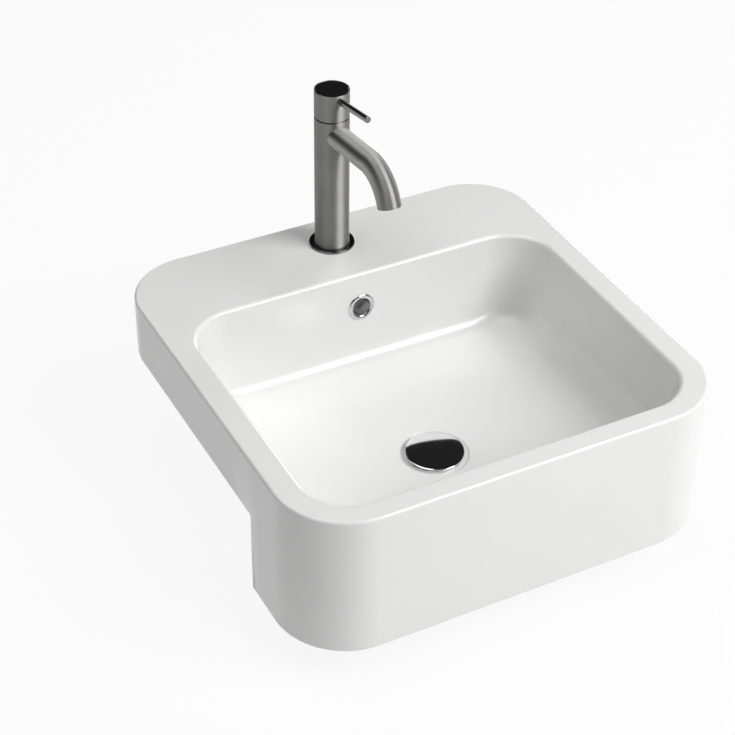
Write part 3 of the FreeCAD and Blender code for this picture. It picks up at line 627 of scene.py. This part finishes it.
def aim(piece, place, direction):
    """Puts a piece that was turned round the upright axis at a place, along a direction."""
    piece.rotation_euler = direction.to_track_quat("Z", "Y").to_euler()
    piece.location = place


def sleeve(name, bore, radius, foot, top, rounding):
    """A plain sleeve on the tap's axis."""
    profile = (bore, foot), (radius, foot), (radius, top), (bore, top), (bore, foot)
    return turned_piece(name, profile, TAP_Y, rounding)


def reach(node):
    """The radius, foot and top of a turned node that stands upright."""
    low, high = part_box(node)
    return (high.x - low.x) / 2, low.z, high.z


def spout_way():
    """The way that the spout leaves the body, and the point where its bend begins."""
    way = forward(SPOUT_SLOPE)
    return way, SPOUT_ROOT + SPOUT_RUN * way


def spout():
    """A bent tube: a circle drawn along the outside, in at its end, and back along the bore."""
    piece = open_piece("spout")
    way, bend = spout_way()
    centre = bend + below(SPOUT_SLOPE) * SPOUT_BEND
    run = (SPOUT_RUN - BODY_BORE / 2) * way
    narrow = SPOUT_BORE / SPOUT_RADIUS
    bpy.ops.mesh.primitive_circle_add(
        vertices=ROUND_POINTS, radius=SPOUT_RADIUS, location=bend - run,
        rotation=way.to_track_quat("Z", "Y").to_euler()
    )
    bpy.ops.mesh.extrude_region_move(TRANSFORM_OT_translate={"value": run})
    bpy.ops.mesh.spin(steps=BEND_STEPS, angle=-SPOUT_TURN, center=centre, axis=(1.0, 0.0, 0.0))
    end = sum((point.co for point in edited().verts if point.select), Vector()) / ROUND_POINTS
    bpy.ops.mesh.extrude_region_move()
    bpy.ops.transform.resize(value=(narrow,) * 3, center_override=end)
    bpy.ops.mesh.spin(steps=BEND_STEPS, angle=SPOUT_TURN, center=centre, axis=(1.0, 0.0, 0.0))
    bpy.ops.mesh.extrude_region_move(TRANSFORM_OT_translate={"value": -run})
    bpy.ops.mesh.extrude_region_move()
    bpy.ops.transform.resize(value=(1 / narrow,) * 3, center_override=bend - run)
    close_up()
    round_edges(lambda edge: middle(edge).z < SPOUT_ROOT.z - SPOUT_RADIUS, SPOUT_EDGE, steps=2)
    bpy.ops.object.mode_set(mode="OBJECT")
    upright = Vector((0.0, 0.0, 4 * SPOUT_RADIUS))
    cut_hole(piece, BODY_BORE, SPOUT_ROOT - upright, SPOUT_ROOT + upright)
    piece.data.use_auto_texspace = False        # so that the brushing runs round the tube
    piece.data.texspace_location = (0.0, 1.0, 0.0)
    piece.data.texspace_size = (100.0, 0.1, 0.1)
    hand_over(piece, "spout_tube")


def tap_body():
    radius, foot, top = reach("tap_body")
    piece = sleeve("tap_body", BODY_BORE, radius, foot, top - HANDLE_GAP, BODY_EDGE)
    _, bend = spout_way()
    cut_hole(piece, SPOUT_RADIUS + CLEARANCE, SPOUT_ROOT, bend)
    hand_over(piece, "tap_body")


def handle():
    radius, foot, top = reach("handle_cap")
    floor = top - DISC_DEPTH
    profile = (
        (radius - CAP_WALL, top - CAP_HEAD), (radius - CAP_WALL, foot), (radius, foot),
        (radius, top), (radius - DISC_WALL, top), (radius - DISC_WALL, floor),
    )
    piece = turned_piece("handle_cap", profile, TAP_Y, CAP_EDGE)
    relief = Vector((0.0, -math.sin(RELIEF_SLOPE), math.cos(RELIEF_SLOPE)))
    bpy.ops.mesh.primitive_cube_add(
        size=4 * radius, location=Vector((0.0, TAP_Y - RELIEF_START, foot)) - 2 * radius * relief,
        rotation=(RELIEF_SLOPE, 0.0, 0.0)
    )
    cut_away(piece, bpy.context.object)
    place = Vector((0.0, TAP_Y - radius, top - PIN_DROP))
    way = forward(PIN_SLOPE)
    cut_hole(piece, PIN_RADIUS + CLEARANCE, place - PIN_SOCKET * way, place + PIN_SOCKET * way)
    hand_over(piece, "handle_cap")

    profile = (PIN_RADIUS, PIN_GAP - PIN_SOCKET), (PIN_RADIUS, PIN_REACH)
    pin = turned_piece("lever_pin", profile, 0.0, PIN_EDGE)
    aim(pin, place, way)
    hand_over(pin, "lever_pin")
    radius, foot, top = reach("handle_top_disc")
    disc = turned_piece("top_disc", ((radius, foot), (radius, top)), TAP_Y, CAP_EDGE)
    hand_over(disc, "handle_top_disc")


def rings_and_plug():
    flange = sleeve("base_flange", TAP_HOLE - FLANGE_LAP, *reach("base_flange"), FLANGE_EDGE)
    hand_over(flange, "base_flange")
    ring = turned_piece("overflow_ring", OVERFLOW_PROFILE)
    aim(ring, *overflow_place())
    hand_over(ring, "overflow_ring", smooth=50.0)
    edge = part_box("plug_cap")[0].z + PLUG_NECK
    profile = tuple((radius, edge + height) for radius, height in PLUG_PROFILE)
    hand_over(turned_piece("plug_cap", profile, OUTLET_Y), "plug_cap")


def softened(node):
    """A copy of a node whose sharp edges are slightly rounded."""
    source = frame["nodes"][node]
    piece = bpy.data.objects.new(node + "_softened", source.data.copy())
    bpy.context.collection.objects.link(piece)
    piece.matrix_world = source.matrix_world
    pick(piece)
    bpy.ops.object.mode_set(mode="EDIT")
    close_up()
    bpy.ops.mesh.select_all(action="SELECT")
    bpy.ops.mesh.dissolve_limited(angle_limit=FLAT_ANGLE)
    bpy.ops.object.mode_set(mode="OBJECT")
    apply_modifier(
        piece, "BEVEL", width=SOFT_EDGE, segments=2, limit_method="ANGLE",
        angle_limit=CREASE_ANGLE, use_clamp_overlap=True
    )
    hand_over(piece, node)


basin_casting()
spout()
tap_body()
handle()
rings_and_plug()
for node_name in SOFTENED:
    softened(node_name)


# ---------------------------------------- studio
def camera():
    yaw, pitch, roll = (math.radians(angle) for angle in CAMERA_TURNS)
    ahead = Vector((
        math.sin(yaw) * math.cos(pitch), math.cos(yaw) * math.cos(pitch), -math.sin(pitch)
    ))
    across = Vector((math.cos(yaw), -math.sin(yaw), 0.0))
    above = across.cross(ahead)
    right = across * math.cos(roll) + above * math.sin(roll)
    up = above * math.cos(roll) - across * math.sin(roll)
    data = bpy.data.cameras.new("camera")
    data.lens, data.sensor_width, data.clip_end = CAMERA_LENS, CAMERA_SENSOR, CAMERA_FAR
    made = bpy.data.objects.new("camera", data)
    turn = Matrix((right, up, -ahead)).transposed().to_4x4()
    made.matrix_world = Matrix.Translation(CAMERA_PLACE) @ turn
    bpy.context.collection.objects.link(made)
    bpy.context.scene.camera = made


def soft_light(name, place, target, size, power):
    """A panel of this size, turned to its target. Only its light shows. Its power is in watts."""
    data = bpy.data.lights.new(name, "AREA")
    data.shape, data.size, data.size_y, data.energy = "RECTANGLE", *size, power
    made = bpy.data.objects.new(name, data)
    made.location, made.visible_camera = place, False
    made.rotation_euler = (Vector(target) - Vector(place)).to_track_quat("-Z", "Y").to_euler()
    bpy.context.collection.objects.link(made)


def surroundings():
    """Pale near the horizon and darker overhead, where a studio has no lamp."""
    world = bpy.data.worlds.new("studio")
    bpy.context.scene.world = world
    world.use_nodes = True
    nodes = Nodes(world.node_tree)
    direction = nodes.value("ShaderNodeTexCoord", {}, {}, "Generated")
    height = nodes.value("ShaderNodeSeparateXYZ", {}, {0: direction}, "Z")
    across = nodes.value("ShaderNodeSeparateXYZ", {}, {0: direction}, "X")
    shade = nodes.value("ShaderNodeValToRGB", {"stops": SKY_STOPS}, {0: height})
    nodes.feed(world.node_tree.nodes["Background"], {
        "Color": shade, "Strength": SKY_STRENGTH + SKY_SLANT * across,
    })


def pale_floor():
    """A floor that the camera and the reflections see as white, but for a soft shadow."""
    foot = cad_box[0].z - FLOOR_GAP
    bpy.ops.mesh.primitive_plane_add(size=FLOOR_SIZE, location=(0.0, 0.0, foot))
    floor = bpy.context.object
    floor.name = "floor"
    pale = Finish("pale_floor", {"Base Color": (0.86, 0.86, 0.86, 1.0), "Roughness": 0.9})
    rays = pale.node("ShaderNodeLightPath", {}, {})
    seen = Value(pale, rays.outputs["Is Camera Ray"]) + Value(pale, rays.outputs["Is Glossy Ray"])
    white = pale.value("ShaderNodeEmission", {}, {"Color": (1.0, 1.0, 1.0, 1.0)})
    plain = Value(pale, pale.shader.outputs[0])
    mixed = pale.value("ShaderNodeMixShader", {}, {0: FLOOR_GLOW * seen, 1: plain, 2: white})
    pale.feed(pale.tree.nodes["Material Output"], {"Surface": mixed})
    floor.data.materials.append(pale.material)


camera()
surroundings()
soft_light("front_panel", (1.45, -2.25, 2.4), BASIN_CENTRE, size=(2.2, 1.8), power=98.0)
soft_light("top_panel", (-0.7, 0.1, 2.6), BASIN_CENTRE, size=(2.2, 1.6), power=27.0)
soft_light("side_panel", (2.2, 1.7, 0.95), LEDGE_CENTRE, size=(0.7, 0.9), power=15.0)
pale_floor()
bpy.context.scene.view_settings.view_transform = "Standard"
